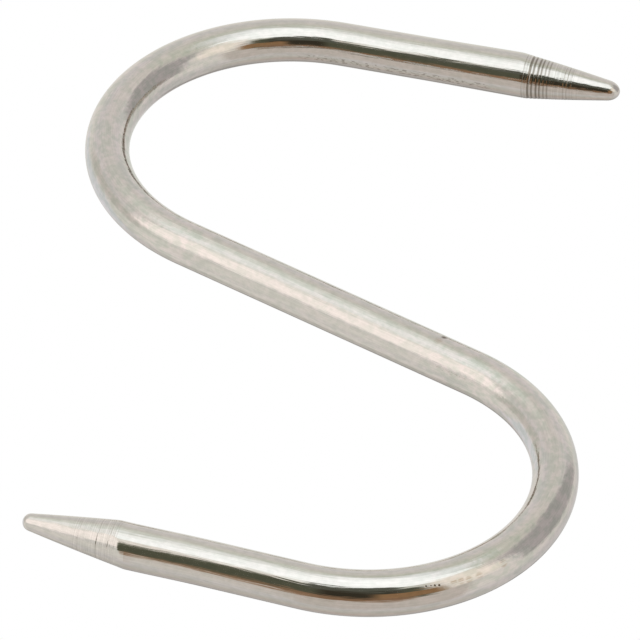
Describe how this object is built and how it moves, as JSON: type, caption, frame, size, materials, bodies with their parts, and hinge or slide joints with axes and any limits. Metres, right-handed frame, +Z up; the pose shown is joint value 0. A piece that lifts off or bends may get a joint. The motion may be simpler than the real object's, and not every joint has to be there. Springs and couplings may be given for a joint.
{
  "type": "meat hook",
  "caption": "S-shaped butcher's hook bent from round stainless bar, with a turned point on each end, for hanging meat from a rail.",
  "frame": {"origin": "on the inner crown of the upper bend, where the hook sits on its rail", "axes": "+Z up along the line through both bend centres, the line of the load; the S lies in the XZ plane and reads as an S looking along +Y; +X towards the upper point"},
  "size_m": [0.1212, 0.008, 0.1663],
  "materials": {
    "polished_stainless": "polished round bar with fine draw lines, satin on the bends, lathe rings on the turned points"
  },
  "bodies": {
    "root": {"s_hook": "polished_stainless"}
  },
  "joints": []
}
